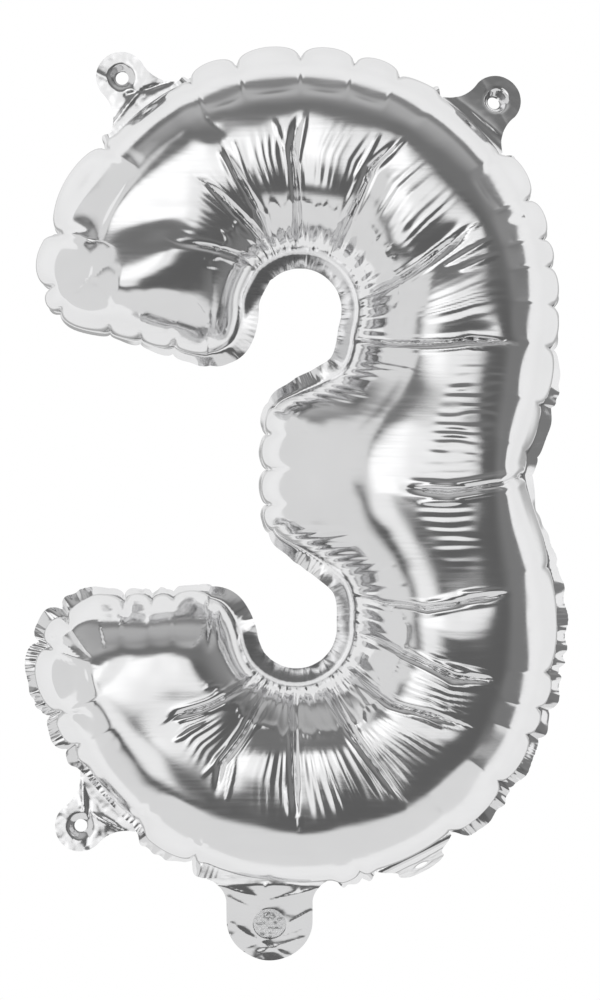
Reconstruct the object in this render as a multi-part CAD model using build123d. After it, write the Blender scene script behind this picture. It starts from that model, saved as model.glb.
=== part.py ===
from build123d import *
from math import cos, radians, sin
import os

# A foil number balloon in the shape of a 3, filled with air.  Millimetres, +Z up, the front faces -Y.
# The digit is laid out about the middle of its own height and moved to the box centre at the end.

# Film and seam
film_t = 0.4            # wall of each foil film (the real laminate is about 0.04)
valve_t = 0.15          # wall of each valve film
tube_r = 38.5           # radius of the inflated stroke between its two welds

# The two bowls of the digit
upper_z = 64.6          # height of the upper bowl's centre
lower_z = -68.0         # height of the lower bowl's centre
bowl_r = 64.0           # radius of the stroke's centre line round each bowl
waist_angle = 20.0      # where each bowl's arc turns into the waist, from the level line
terminal_angle = 157.0  # where the domes of the two free strokes start, from the same line

# The middle arm, which tapers to the left
arm_z = -1.0
arm_root_x = 50.0
arm_root_r = 37.0
arm_tip_x = 6.0
arm_tip_r = 22.0

# Outline of the two welded films: x, z and corner radius, clockwise from the top left
outline = [
    (-110, 175, 104), (110, 175, 108), (110, 32, 150), (98.5, -4, 40), (110, -42, 150),
    (110, -175, 105), (-110, -175, 105), (-110, -53, 16), (-39, -43, 10), (-12, -88, 14),
    (16, -88, 20), (16, -42, 12), (-17, -29, 8), (-17, 26, 8), (18.5, 46.5, 8),
    (18.5, 82, 16), (-15.5, 82, 14), (-16, 60, 10), (-37, 43, 8), (-110, 58, 15),
]

# Hanging tabs: name, height of the bowl's centre, direction and distance of the fold from it,
# and how far the tab leans back at rest
tabs = [
    ("tab_top_left", upper_z, 127.5, 106.5, 8),
    ("tab_top_right", upper_z, 47, 105, 30),
    ("tab_bottom_left", lower_z, -138, 107.5, 5),
    ("tab_bottom_right", lower_z, -63, 105, 68),
]
tab_base = 17.0         # half width at the fold
tab_head_r = 10.5       # rounded head round the eyelet
tab_reach = 15.5        # from the fold to the eyelet
eyelet_r = 2.7
fold_gap = 1.0          # clear band at each fold, where the real film only bends
notch_play = 1.0        # clearance beside each tab's base
shoulder_dip = 0.15     # how far the concave shoulders bow in, as a share of their chord

# Tail with the inflation inlet
tail_x = -12.75
tail_fold_z = -172.0
tail_tilt = 6.0
tail_base = 26.0        # half width at the fold
tail_half = 18.0        # half width below the concave shoulders
tail_shoulder = 10.0    # height of the shoulders
tail_length = 37.2      # from the fold to the rounded end
inlet_reach = 20.8      # from the fold to the inlet
inlet_r = 7.0

# Valve films, from the inlet through the weld into the chamber
valve_half = 10.0       # half width of the sleeve in the weld and the chamber
valve_inlet_half = 12.0
valve_inlet_length = 31.0
valve_length = 44.0     # from the fold to the sleeve's open end in the chamber
slot_play = 0.01        # clearance between the sleeve and the foil films

cut_size = 500.0        # larger than the whole balloon

os.makedirs("parts", exist_ok=True)


def polar(z, radius, angle):
    """Point in the XZ plane at a distance and direction from a bowl's centre."""
    return Vector(radius * cos(radians(angle)), 0, z + radius * sin(radians(angle)))


def rounded_face(corners):
    """Face in the XZ plane whose corners are rounded, each by its own radius."""
    points = [Vector(x, 0, z) for x, z, radius in corners]
    arcs = []
    for i, corner in enumerate(corners):
        radius = corner[2]
        before = (points[i - 1] - points[i]).normalized()
        after = (points[(i + 1) % len(points)] - points[i]).normalized()
        half = radians(before.get_angle(after)) / 2
        cut = radius * cos(half) / sin(half)
        middle = points[i] + (before + after).normalized() * (radius / sin(half) - radius)
        arcs.append(ThreePointArc(points[i] + before * cut, middle, points[i] + after * cut))
    edges = []
    for arc, following in zip(arcs, arcs[1:] + arcs[:1]):
        edges.append(arc)
        edges.append(Line(arc @ 1, following @ 0))
    return Face(Wire(edges))


def plate(face, front, back):
    """Solid between two depths, from a face in the XZ plane."""
    return Pos(0, front, 0) * extrude(face, amount=back - front, dir=(0, 1, 0))


def slab(half_width, low, high, front, back):
    """Box between two heights and two depths, centred on x = 0."""
    size_y = back - front
    return Pos(0, (front + back) / 2, (low + high) / 2) * Box(2 * half_width, size_y, high - low)


def across(origin, direction):
    """Plane square to the stroke, with its x axis to the back so that no seam lies in the weld."""
    return Plane(origin=origin, x_dir=(0, 1, 0), z_dir=direction)


def ball(radius):
    """Ball whose poles lie aslant, in the parts that are cut away or buried in the stroke."""
    return Rot(0, -45, 0) * Sphere(radius)


def stroke(radius):
    """Round tube along the digit: upper bowl, waist and lower bowl, with a dome on each end."""
    top_end = polar(upper_z, bowl_r, terminal_angle)
    top_leave = polar(upper_z, bowl_r, -waist_angle)
    low_leave = polar(lower_z, bowl_r, waist_angle)
    low_end = polar(lower_z, bowl_r, -terminal_angle)
    waist_r = (top_leave.Z - low_leave.Z) / 2 / sin(radians(waist_angle))
    waist_x = top_leave.X - waist_r * (1 - cos(radians(waist_angle)))
    arcs = [
        ThreePointArc(top_end, polar(upper_z, bowl_r, 60), top_leave),
        ThreePointArc(top_leave, Vector(waist_x, 0, (upper_z + lower_z) / 2), low_leave),
        ThreePointArc(low_leave, polar(lower_z, bowl_r, -60), low_end),
    ]
    runs = [sweep(across(arc @ 0, arc % 0) * Circle(radius), path=arc) for arc in arcs]
    dome = ball(radius) - Pos(0, 0, -radius) * Box(4 * radius, 4 * radius, 2 * radius)
    top_dome = across(top_end, (arcs[0] % 0) * -1) * dome
    low_dome = across(low_end, arcs[2] % 1) * dome
    return [*runs, top_dome, low_dome]


def arm(skin):
    """Tapered arm that points left from the waist, with a round tip."""
    length = arm_root_x - arm_tip_x
    align = (Align.CENTER, Align.CENTER, Align.MIN)
    taper = Cone(arm_root_r - skin, arm_tip_r - skin, length, align=align)
    tip = Pos(0, 0, length) * ball(arm_tip_r - skin)
    place = across((arm_root_x, 0, arm_z), (-1, 0, 0))
    return [place * taper, place * tip]


def back_half(pieces):
    """One solid from the pieces, each cut at the weld plane first."""
    front = Pos(0, -cut_size / 2, 0) * Box(cut_size, cut_size, cut_size)
    halves = [piece - front for piece in pieces]
    whole = halves[0]
    for half in halves[1:]:
        whole += half
    return whole


def flap_face(base_half, top_half, shoulder, length):
    """Flap in the XZ plane: fold at z = 0, concave shoulders, straight sides and a round end."""
    low = fold_gap / 2
    side = length - top_half
    chord = Vector(top_half - base_half, 0, shoulder - low)
    dip = Vector(-chord.Z, 0, chord.X).normalized() * (shoulder_dip * chord.length)
    middle = Vector((base_half + top_half) / 2, 0, (low + shoulder) / 2) + dip
    right = ThreePointArc((base_half, 0, low), middle, (top_half, 0, shoulder))
    end = ThreePointArc((top_half, 0, side), (0, 0, length), (-top_half, 0, side))
    left = ThreePointArc((-top_half, 0, shoulder), (-middle.X, 0, middle.Z), (-base_half, 0, low))
    edges = [Line((-base_half, 0, low), (base_half, 0, low)), right]
    if side > shoulder:
        edges.append(Line(right @ 1, end @ 0))
        edges.append(end)
        edges.append(Line(end @ 1, left @ 0))
    else:
        edges.append(end)
    edges.append(left)
    return Face(Wire(edges))


def flap_place(origin, direction, tilt):
    """Place of a flap: x along its fold, z outward, leaned back by the tilt about the fold."""
    outward = (cos(radians(direction)), 0, sin(radians(direction)))
    along = (sin(radians(direction)), 0, -cos(radians(direction)))
    return Plane(origin=origin, x_dir=along, z_dir=outward).location * Rot(-tilt, 0, 0)


def eyelet(reach, radius):
    """Round cutter through a flap, at a distance from its fold."""
    return Pos(0, 0, reach) * Rot(90, 0, 0) * Cylinder(radius, 4)


def make_flaps():
    """The two plies of every tab and of the tail, and the valve films that lie in the tail."""
    flaps = {}
    for name, bowl_z, direction, distance, tilt in tabs:
        place = flap_place(polar(bowl_z, distance, direction), direction, tilt)
        face = flap_face(tab_base, tab_head_r, tab_reach, tab_reach + tab_head_r)
        hole = eyelet(tab_reach, eyelet_r)
        flaps[name + "_front"] = place * (plate(face, -film_t, 0) - hole)
        flaps[name + "_back"] = place * (plate(face, 0, film_t) - hole)
    place = flap_place((tail_x, 0, tail_fold_z), -90, tail_tilt)
    face = flap_face(tail_base, tail_half, tail_shoulder, tail_length)
    valve_front = slab(valve_inlet_half, fold_gap / 2, valve_inlet_length, -valve_t, 0)
    valve_back = slab(valve_inlet_half, fold_gap / 2, valve_inlet_length, 0, valve_t)
    inlet = eyelet(inlet_reach, inlet_r)
    flaps["tail_front"] = place * (plate(face, -film_t, 0) - valve_front - inlet)
    flaps["tail_back"] = place * (plate(face, 0, film_t) - valve_back)
    flaps["valve_inlet_front"] = place * valve_front
    flaps["valve_inlet_back"] = place * valve_back
    return flaps


def make_sleeve():
    """The valve films above the fold: through the weld and free inside the chamber."""
    place = Pos(tail_x, 0, tail_fold_z)
    front = slab(valve_half, fold_gap / 2, valve_length, -valve_t, 0)
    back = slab(valve_half, fold_gap / 2, valve_length, 0, valve_t)
    return {"valve_sleeve_front": place * front, "valve_sleeve_back": place * back}


def make_films():
    """Front and back film: half of the inflated stroke each, with the welded margin round it."""
    margin = plate(rounded_face(outline), 0, film_t)
    for name, bowl_z, direction, distance, tilt in tabs:
        place = flap_place(polar(bowl_z, distance, direction), direction, 0)
        margin -= place * slab(tab_base + notch_play, -fold_gap / 2, tab_reach, -2, 2)
    place = flap_place((tail_x, 0, tail_fold_z), -90, 0)
    margin -= place * slab(tail_base + notch_play, -fold_gap / 2, tail_length, -2, 2)
    outside = back_half([*stroke(tube_r), *arm(0)])
    inside = back_half([*stroke(tube_r - film_t), *arm(film_t)])
    slot = slab(valve_half + slot_play, -2, 15, -2, valve_t + slot_play)
    back = outside + margin - inside - Pos(tail_x, 0, tail_fold_z) * slot
    return {"front_film": mirror(back, about=Plane.XZ), "back_film": back}


nodes = {**make_films(), **make_flaps(), **make_sleeve()}
boxes = [solid.bounding_box() for solid in nodes.values()]
low = Vector(*[min(getattr(box.min, axis) for box in boxes) for axis in "XYZ"])
high = Vector(*[max(getattr(box.max, axis) for box in boxes) for axis in "XYZ"])
centre = (low + high) * 0.5
for name, solid in nodes.items():
    export_step(Pos(-centre.X, -centre.Y, -centre.Z) * solid, f"parts/{name}.step")
print("box centre in the digit's own frame:", centre)
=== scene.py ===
import math
import bpy
import numpy as np
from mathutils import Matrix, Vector
from mathutils.geometry import delaunay_2d_cdt


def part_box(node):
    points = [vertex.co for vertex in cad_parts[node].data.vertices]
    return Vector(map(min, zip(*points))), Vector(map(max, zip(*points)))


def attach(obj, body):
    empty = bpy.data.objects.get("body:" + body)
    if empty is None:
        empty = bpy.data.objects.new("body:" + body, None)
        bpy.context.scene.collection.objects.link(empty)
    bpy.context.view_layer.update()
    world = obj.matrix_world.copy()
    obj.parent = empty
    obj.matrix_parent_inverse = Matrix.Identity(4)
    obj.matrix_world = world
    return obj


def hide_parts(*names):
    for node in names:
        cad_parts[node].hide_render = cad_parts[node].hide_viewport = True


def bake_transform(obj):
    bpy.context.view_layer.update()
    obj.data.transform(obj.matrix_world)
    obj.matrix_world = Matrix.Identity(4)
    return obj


# A foil number balloon: two crinkled foil films, four hanging tabs, a tail and its valve films.
# Lengths are in millimetres in the digit's own frame, and become metres when a mesh is made.
# The plan is the XZ plane; depth is along Y.

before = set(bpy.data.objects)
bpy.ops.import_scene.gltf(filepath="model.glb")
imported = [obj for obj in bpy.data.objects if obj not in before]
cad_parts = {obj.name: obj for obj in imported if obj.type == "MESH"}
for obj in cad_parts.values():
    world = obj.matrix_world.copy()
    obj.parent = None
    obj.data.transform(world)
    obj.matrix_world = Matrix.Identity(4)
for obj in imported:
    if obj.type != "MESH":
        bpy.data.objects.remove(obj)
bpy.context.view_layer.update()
MM = 0.001
FILM_TOP = 175.0                    # top of the films in the digit's frame
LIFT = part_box("front_film")[1].z / MM - FILM_TOP     # from the digit's frame to the row frame

UPPER = np.array([0.0, 64.6])       # bowl centres
LOWER = np.array([0.0, -68.0])
OUTER, INNER = 105.0, 24.0          # radii of the outer and the inner weld
COLUMNS = 1000                      # along the stroke
ROWS = 120                          # from the outer weld to the inner one
COARSE_COLUMNS = 220                # of the grid on which the membrane is solved
END_ROUND = 36.0                    # columns crowd at the free ends, as round a circle of this radius

# The photograph's frame, 1000 pixels high
PIXEL = 0.41667                     # millimetres at the weld
PHOTO_Z = -14.6                     # height of the picture's middle
CAMERA_WAY = 1389.0                 # from the camera to the weld
LENS, SENSOR = 120.0, 36.0


def unit(angle):
    """Plan direction at an angle in degrees."""
    return np.array([math.cos(math.radians(angle)), math.sin(math.radians(angle))])


def polar(centre, radius, angle):
    """Plan point at a distance and direction from a bowl's centre."""
    return centre + radius * unit(angle)


def square(direction):
    """A plan direction turned a quarter to the left."""
    return np.array([-direction[1], direction[0]])


def smooth(x, low, high):
    """A smooth step from 0 at low to 1 at high."""
    t = np.clip((x - low) / (high - low), 0, 1)
    return t * t * (3 - 2 * t)


def band(x, low, full, fading, gone):
    """1 from full to fading, and 0 below low and beyond gone."""
    return smooth(x, low, full) * (1 - smooth(x, fading, gone))


def arch(t, power):
    """A parabola over 0 to 1, to a power: the larger the power, the more pointed."""
    return np.clip(4 * t * (1 - t), 0, 1) ** power


def bell(x, width):
    return np.exp(-(x / width) ** 2)


def steps(points):
    """Length of every step along a line of points."""
    return np.linalg.norm(np.diff(points, axis=0), axis=1)


def running(lengths):
    """Running length at every point, from the lengths of the steps."""
    return np.concatenate([[0], np.cumsum(lengths)])


def on_segment(points, a, b):
    """Distance of plan points from a segment, and the share of the segment at the nearest place."""
    e = b - a
    t = np.clip(((points - a) @ e) / (e @ e), 0, 1)
    return np.linalg.norm(points - (a + t[..., None] * e), axis=-1), t


def stations():
    """Ribs across the digit: a point on the outer weld and the one on the inner weld."""
    ribs = [((-79, 56), (-38, 46.5)), ((-97.5, 62), (-33, 48)), ((-103.5, 75), (-27.5, 52))]
    ribs.append((polar(UPPER, OUTER, 165), (-24.5, 60)))
    ribs.append((polar(UPPER, OUTER, 153), (-23.3, 70)))
    for angle in range(140, -11, -10):
        ribs.append((polar(UPPER, OUTER, angle), polar(UPPER, INNER, angle)))
    ribs += [
        ((102.3, 37.5), (22.6, 56.4)), ((100.8, 29), (20.8, 47)), ((99.2, 21.5), (17.5, 39.5)),
        ((97.6, 15.5), (9, 34)), ((96, 10.5), (-1, 29.7)), ((94.5, 6.5), (-9.5, 25)),
        ((93.2, 3), (-12.8, 16.5)), ((92.5, -0.5), (-13.3, 6.5)), ((92.2, -4), (-13.3, -3)),
        ((92.6, -7.5), (-13.3, -13)), ((93.6, -11.5), (-12.6, -22)), ((95, -16), (-9, -29)),
        ((96.8, -21.5), (1, -35)), ((98.8, -27.5), (10.5, -41)), ((100.8, -34), (18.2, -48)),
        ((102.5, -41), (21.6, -56.5)),
    ]
    inner = (-1.5, -68.0)
    for angle in range(5, -151, -10):
        ribs.append((polar(LOWER, 104.5, angle), polar(inner, 23.5, angle)))
    ribs.append((polar(LOWER, OUTER, -157), (-23.3, -76)))
    ribs += [((-104.5, -89), (-25, -69.5)), ((-104.5, -76), (-28, -62.5)), ((-98, -64.5), (-32, -57.5)),
             ((-84, -57), (-37.5, -55))]
    return np.array(ribs, float)


def catmull(points, where):
    """Smooth curve through the points, read at fractional indices."""
    n = len(points)
    i = np.clip(np.floor(where).astype(int), 0, n - 2)
    t = (where - i)[:, None]
    flat = points.reshape(n, -1)
    before, a, b, after = (flat[np.clip(i + k, 0, n - 1)] for k in (-1, 0, 1, 2))
    before = np.where((i == 0)[:, None], 2 * a - b, before)
    after = np.where((i == n - 2)[:, None], 2 * b - a, after)
    out = 0.5 * (2 * a + (b - before) * t + (2 * before - 5 * a + 4 * b - after) * t ** 2
                 + (3 * a - before - 3 * b + after) * t ** 3)
    return out.reshape(-1, *points.shape[1:])


RIBS = stations()
rib_places = np.linspace(0, len(RIBS) - 1, 4000)
rib_ends = catmull(RIBS, rib_places)
rib_run = running(steps(rib_ends[:, 0] * 0.5 + rib_ends[:, 1] * 0.5) + 0.35 * steps(rib_ends[:, 1]))


def eased(count, length, edge):
    """Fractions from 0 to 1 whose steps shrink at both ends, as round a quarter circle of radius edge."""
    k = edge / length
    total = 2 * k * (math.pi / 2 - 1) + 1
    arc = np.linspace(0, 1, count) * total
    back = total - arc
    first = k * (1 - np.cos(np.minimum(arc / k, math.pi / 2)))
    last = 1 - k * (1 - np.cos(np.minimum(back / k, math.pi / 2)))
    middle = arc - k * (math.pi / 2 - 1)
    return np.where(arc < k * math.pi / 2, first, np.where(back < k * math.pi / 2, last, middle))


def across_share(rows):
    """How far each row is across the film; the rows crowd at both welds."""
    return 0.5 - 0.5 * np.cos(np.linspace(0, math.pi, rows))


def plan_grid(columns, rows):
    """Plan positions of the film's grid, rows by columns, and each column's place in the list of ribs."""
    where = np.interp(eased(columns, rib_run[-1], END_ROUND) * rib_run[-1], rib_run, rib_places)
    ends = catmull(RIBS, where)
    v = across_share(rows)[:, None, None]
    return ends[None, :, 0] * (1 - v) + ends[None, :, 1] * v, where


def quads(rows, columns, start=0, closed=False):
    """Faces of a grid of points; closed joins the last column to the first."""
    index = np.arange(rows * columns).reshape(rows, columns) + start
    if closed:
        index = np.hstack([index, index[:, :1]])
    return np.stack([index[:-1, :-1], index[:-1, 1:], index[1:, 1:], index[1:, :-1]], -1).reshape(-1, 4)


SOLVER_STEPS = 900
SOLVED = 1e-12


def membrane(grid):
    """Height of a film held at its edge and lifted evenly: the root of Poisson's solution, which is
    a half circle across a straight stroke."""
    rows, columns = grid.shape[:2]
    faces = quads(rows, columns)
    tris = np.concatenate([faces[:, :3], faces[:, [0, 2, 3]]])
    p = grid.reshape(-1, 2)
    i_list, j_list, w_list = [], [], []
    area = np.zeros(len(p))
    for k in range(3):
        o, s, t = tris[:, k], tris[:, (k + 1) % 3], tris[:, (k + 2) % 3]
        e, f = p[s] - p[o], p[t] - p[o]
        cross = np.abs(e[:, 0] * f[:, 1] - e[:, 1] * f[:, 0]) + 1e-9
        w = 0.5 * (e * f).sum(1) / cross
        i_list += [s, t]
        j_list += [t, s]
        w_list += [w, w]
        area += np.bincount(o, cross / 6, len(p))
    i, j, w = (np.concatenate(x) for x in (i_list, j_list, w_list))
    n = len(p)
    diagonal = np.bincount(i, w, n)
    free = np.zeros((rows, columns), bool)
    free[1:-1, 1:-1] = True
    free = free.ravel()
    keep = free[i] & free[j]
    i, j, w = i[keep], j[keep], w[keep]
    load = 2 * area * free
    x = np.zeros(n)
    r = load.copy()
    z = np.where(free, r / diagonal, 0)
    q = z.copy()
    rz = r @ z
    for _ in range(SOLVER_STEPS):
        aq = np.where(free, diagonal * q - np.bincount(i, w * q[j], n), 0)
        alpha = rz / (q @ aq)
        x += alpha * q
        r -= alpha * aq
        z = np.where(free, r / diagonal, 0)
        new = r @ z
        if new < SOLVED * (load @ load):
            break
        q = z + new / rz * q
        rz = new
    return np.sqrt(np.maximum(x, 0)).reshape(rows, columns)


def resample(field, row_at, column_at):
    """A coarse field read smoothly at finer fractional rows and columns."""
    return catmull(catmull(field, row_at).T.copy(), column_at).T


CREST = 0.475            # where the film stands highest, as a share of the way from the outer weld
OUTER_POWER = 2.5        # how square the film's shoulder is outside the crest
INNER_POWER = 2.15       # and inside it
HALF_DEPTH = 38.8
END_DEPTH = 37.5         # the two free ends reach nearly this height close to their edges
END_SQUARE = 1.9
END_FADE = (34, 66)      # distances from the end over which that fades
CAP = 40.0               # the film never stands higher than this
CAP_POWER = 16


def annulus(v):
    """Poisson's profile across a bowl, from the outer weld to the inner one."""
    r = OUTER + (INNER - OUTER) * v
    c = (OUTER ** 2 - INNER ** 2) / 2 / math.log(OUTER / INNER)
    return np.sqrt(np.maximum((OUTER ** 2 - r ** 2) / 2 + c * np.log(r / OUTER), 0))


def shoulder(v):
    """The film's real profile: a square shoulder at the outer weld and a long slope to the inner one."""
    t = np.where(v < CREST, (CREST - v) / CREST, (v - CREST) / (1 - CREST))
    p = np.where(v < CREST, OUTER_POWER, INNER_POWER)
    return HALF_DEPTH * (1 - t ** p) ** (1 / p)


def film_height():
    """The plan grid, and the height of the plain inflated film at every point of it."""
    coarse, coarse_where = plan_grid(COARSE_COLUMNS, ROWS // 2)
    fine, where = plan_grid(COLUMNS, ROWS)
    column_at = np.interp(where, coarse_where, np.arange(COARSE_COLUMNS))
    tall = resample(membrane(coarse), np.linspace(0, ROWS // 2 - 1, ROWS), column_at)
    tall[[0, -1]] = 0
    tall[:, [0, -1]] = 0
    v = np.clip(across_share(ROWS), 1e-4, 1 - 1e-4)
    tall = np.maximum(tall * (shoulder(v) / annulus(v))[:, None], 1e-6)
    from_ends = [on_segment(fine, *fine[[0, -1], column])[0] for column in (0, -1)]
    near_end = np.maximum(*(1 - smooth(distance, *END_FADE) for distance in from_ends))
    full = np.minimum(tall / END_DEPTH, 1)
    tall = tall + near_end * (np.maximum(END_DEPTH * (1 - (1 - full) ** END_SQUARE), tall) - tall)
    return fine, (tall ** -CAP_POWER + CAP ** -CAP_POWER) ** (-1 / CAP_POWER)


grid, height = film_height()

# The lower bowl leans: its face looks a little downward
WAIST_Z = -11.3
LEAN = 4.5               # at the waist
LEAN_SLOPE = 0.067       # and what it gains for every millimetre below it
LEAN_FADE = 60.0         # millimetres above it over which it dies away
from_waist = grid[..., 1] - WAIST_Z
soft_way = np.sqrt(from_waist ** 2 + 4.0)
lean = LEAN - np.where(from_waist < 0, LEAN_SLOPE * soft_way, LEAN * (1 - np.exp(-soft_way / LEAN_FADE)))
lean_share = smooth(height, 8, 34) * np.where(from_waist < 0, smooth(grid[..., 0], -80, -15), 1)
base = np.stack([grid[..., 0], -height - lean * lean_share, grid[..., 1]], -1)
normal = np.cross(np.gradient(base, axis=1), np.gradient(base, axis=0))
normal /= np.linalg.norm(normal, axis=2, keepdims=True) + 1e-12
if normal[ROWS // 2, COLUMNS // 2, 1] > 0:
    normal = -normal


def value_noise(x, y, seed):
    """Smooth noise from -1 to 1 on a unit lattice."""
    rng = np.random.default_rng(seed)
    table = rng.uniform(-1, 1, (64, 64))
    i, j = np.floor(x).astype(int), np.floor(y).astype(int)
    fx, fy = x - i, y - j
    fx, fy = fx ** 3 * (fx * (fx * 6 - 15) + 10), fy ** 3 * (fy * (fy * 6 - 15) + 10)
    at = lambda a, b: table[a % 64, b % 64]
    low = at(i, j) * (1 - fx) + at(i + 1, j) * fx
    high = at(i, j + 1) * (1 - fx) + at(i + 1, j + 1) * fx
    return low * (1 - fy) + high * fy


def polar_of(points, centre):
    """Radius and angle in degrees of plan points about a bowl's centre."""
    d = points - centre
    return np.hypot(d[..., 0], d[..., 1]), np.degrees(np.arctan2(d[..., 1], d[..., 0]))


# Creases round each counter: (angle, radius) along each one, from the inner weld outward, and its depth
UPPER_CREASES = [
    ([(-29, 25), (-20, 45), (-12, 70), (-10, 90)], 2.2),
    ([(8, 22), (13, 36), (20, 58), (25, 79)], 2.2),
    ([(60, 22), (62, 45), (63, 62), (58.5, 79)], 2.2),
    ([(91, 22), (92, 45), (93, 62), (91, 77)], 2.2),
    ([(113, 22), (114, 40), (116, 58), (116, 72)], 2.0),
    ([(117, 22), (124, 45), (128, 63), (129, 66)], 2.4),
    ([(136, 22), (146, 40), (153, 54), (154, 58)], 2.2),
]
LOWER_CREASES = [
    ([(35, 22), (18, 36), (10.5, 52), (10.5, 87)], 2.2),
    ([(-2, 22), (-12.4, 43), (-17.3, 65), (-14, 82)], 2.2),
    ([(-40, 24), (-38.5, 47), (-32.4, 62), (-28.7, 80)], 2.2),
    ([(-66, 22), (-62.6, 51), (-60.5, 66), (-59, 83)], 2.2),
    ([(-96, 22), (-94.4, 38), (-91.8, 66), (-90.3, 80)], 2.2),
    ([(-118, 22), (-119, 47), (-121, 62), (-117, 75)], 2.2),
    ([(-134, 24), (-140.7, 47), (-146, 60), (-146, 66)], 2.2),
]
# Small leaf-shaped rolls beside the creases: angle and radius at both ends, half width and height
UPPER_LEAVES = [
    (91, 57, 88, 79, 1.9, 0.9), (95.5, 62, 98, 76, 1.7, 0.7), (89, 42, 91, 62, 1.3, 0.6),
    (63.5, 58, 57.5, 80, 2.2, 1.0), (67, 55, 65, 76, 2.0, 0.8), (63, 60, 59, 72, 1.4, 0.5),
    (19, 56, 24.5, 80, 2.1, 1.0), (15, 60, 19, 82, 2.0, 0.9), (12, 66, 14.5, 83, 1.9, 0.8),
    (-17, 54, -11, 72, 2.0, 1.0), (-14.5, 70, -10, 88, 1.8, 0.8), (116, 47, 118, 70, 1.7, 0.8),
    (113, 52, 112, 72, 1.5, 0.6), (124, 45, 129, 63, 1.8, 0.9),
]
LOWER_LEAVES = [
    (13, 52, 9, 76, 2.1, 1.0), (14, 66, 11.5, 86, 1.7, 0.8), (-13, 50, -14.5, 70, 1.8, 0.8),
    (-12, 58, -13, 82, 2.1, 0.9), (-17.5, 62, -16, 83, 1.7, 0.7), (-33, 58, -28.5, 81, 2.0, 1.0),
    (-37, 50, -34, 70, 1.8, 0.8), (-28, 60, -27, 74, 1.5, 0.6), (-63.5, 50, -60, 80, 1.9, 1.0),
    (-60, 56, -57.5, 83, 1.6, 0.7), (-91.5, 62, -90, 81, 1.9, 1.1), (-95, 64, -93, 76, 1.6, 0.7),
    (-117, 58, -113.5, 75, 1.8, 0.9), (-121, 52, -124, 71, 1.9, 0.9), (-139, 50, -144, 62, 1.8, 0.8),
    (-136, 54, -139, 68, 1.8, 0.8),
]
WAIST_CREASE = [(40, -9.5), (60, -11.5), (82, -8), (93, -4)]
WAIST_LEAVES = [((47, -9.2), (68, -9.5), 1.9), ((71, -10.5), (82, -9), 1.9), ((48, -15.5), (66, -15.5), 2.0)]
LEAF_WIDTH, LEAF_HEIGHT = 0.75, 0.5                           # shares of the listed sizes that are used
CREASE_WIDTH, CREASE_SHARE = 0.9, 0.62
PUCKER_RADIUS, PUCKER_PITCH, PUCKER_HEIGHT = 30, 4.8, 0.3     # at the inner weld
RING_RADIUS, RING_HEIGHT = 41, 0.34                           # the jagged roll where the puckers end
RIPPLE_RADIUS, RIPPLE_PITCH, RIPPLE_HEIGHT = 62, 3.3, 0.1     # farther out


def fold_profile(distance, depth, width):
    """A sharp valley with a low roll on each side."""
    d = np.abs(distance)
    return depth * (0.32 * bell(d - 2.6 * width, 1.3 * width) - np.exp(-d / width))


def crease_line(points, depth, radius):
    """A crease's angle at each radius, the radius at its end, and its depth."""
    angles, radii = np.array(points, float).T
    return np.interp(radius, radii, angles), points[-1][1], depth


def waves_in(span, radius, pitch, least):
    """How many waves fit a panel between two creases."""
    return max(least, round(float(np.radians(span.mean()) * radius / pitch)))


def panel(radius, angle, crease, following, seed):
    """The flat panel between two creases, with puckers near the weld and ripples farther out."""
    span = following[0] - crease[0]
    t = (angle - crease[0]) / span
    outer = crease[1] + (following[1] - crease[1]) * np.clip(t, 0, 1)
    flat = -radius * (1 - np.cos(np.radians(span) / 2)) * (2 * t - 1) ** 2
    flat = flat * band(radius, 22, 34, outer - 22, outer + 5)
    count = waves_in(span, RIPPLE_RADIUS, RIPPLE_PITCH, 3)
    phase = t * count + 0.35 * value_noise(t * count, radius * 0.02, seed)
    strength = np.clip(0.55 + 0.9 * value_noise(t * count * 0.5 + 9, radius * 0.03, seed + 40), 0.1, 2)
    ripples = np.cos(2 * np.pi * phase) * strength * band(radius, 46, 54, outer - 11, outer)
    count = waves_in(span, PUCKER_RADIUS, PUCKER_PITCH, 2)
    phase = t * count + 0.2 * value_noise(t * 7, radius * 0.1, seed + 80)
    puckers = np.maximum(np.cos(2 * np.pi * phase), -0.4) * (1 - smooth(radius, 27, 42))
    return np.where((t >= 0) & (t <= 1), flat + RIPPLE_HEIGHT * ripples + PUCKER_HEIGHT * puckers, 0)


def bowl_relief(centre, creases, wrap, seed):
    """Creases round one counter, and the panels between them.  Angles start at wrap."""
    radius, angle = polar_of(grid, centre)
    angle = np.where(angle < wrap, angle + 360, angle)
    lines = sorted((crease_line(*crease, radius) for crease in creases), key=lambda line: line[0].mean())
    out = np.zeros(radius.shape)
    for line, end, depth in lines:
        valley = fold_profile(np.radians(angle - line) * radius, CREASE_SHARE * depth, CREASE_WIDTH)
        out += band(radius, 23, 29, end - 14, end + 1) * valley
    jagged = 2.2 * value_noise(angle / 5, radius * 0, seed + 90)
    jagged += 0.9 * value_noise(angle / 1.6, radius * 0, seed + 91)
    first, last = lines[0][0].mean(), lines[-1][0].mean()
    covered = band(angle, first - 10, first, last, last + 8)
    out += RING_HEIGHT * covered * bell(radius - RING_RADIUS - jagged, 1.3)
    for k in range(len(lines) - 1):
        out += panel(radius, angle, lines[k], lines[k + 1], seed + k)
    return out


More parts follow.
